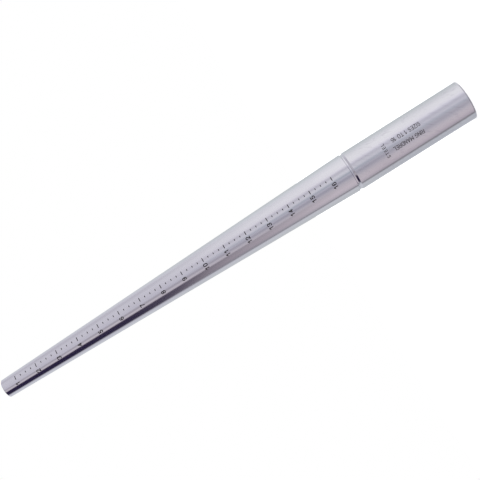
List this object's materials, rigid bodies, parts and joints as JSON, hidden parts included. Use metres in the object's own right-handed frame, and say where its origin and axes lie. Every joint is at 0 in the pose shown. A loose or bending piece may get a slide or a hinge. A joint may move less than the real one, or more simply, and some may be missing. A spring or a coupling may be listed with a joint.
{
  "type": "ring mandrel",
  "caption": "Round tapered steel mandrel with engraved ring-size marks along one side and a plain cylindrical handle behind a groove.",
  "frame": {"origin": "centre of the handle's flat end face (the butt), with the mandrel standing upright on it", "axes": "+Z runs along the mandrel's axis from the butt to the small tip; -Y is the side that carries the size marks; with the tip up and the marks facing the reader, +X is to the reader's right, where the tick marks are"},
  "size_m": [0.0254, 0.0254, 0.3332],
  "materials": {
    "ground_steel": "hardened steel, ground between centres and polished bright, with faint lines running around it",
    "turned_steel": "bright turned and polished steel, a little softer than the taper, worn by the hand",
    "mark_fill": "matt black fill in shallow engraved marks",
    "legend_fill": "thin dark grey fill in shallow engraved letters, paler than the size marks"
  },
  "bodies": {
    "root": {"tapered_mandrel": "ground_steel", "handle": "turned_steel", "whole_size_marks": "mark_fill", "quarter_size_marks": "mark_fill", "size_numerals": "mark_fill", "handle_legend": "legend_fill"}
  },
  "joints": []
}
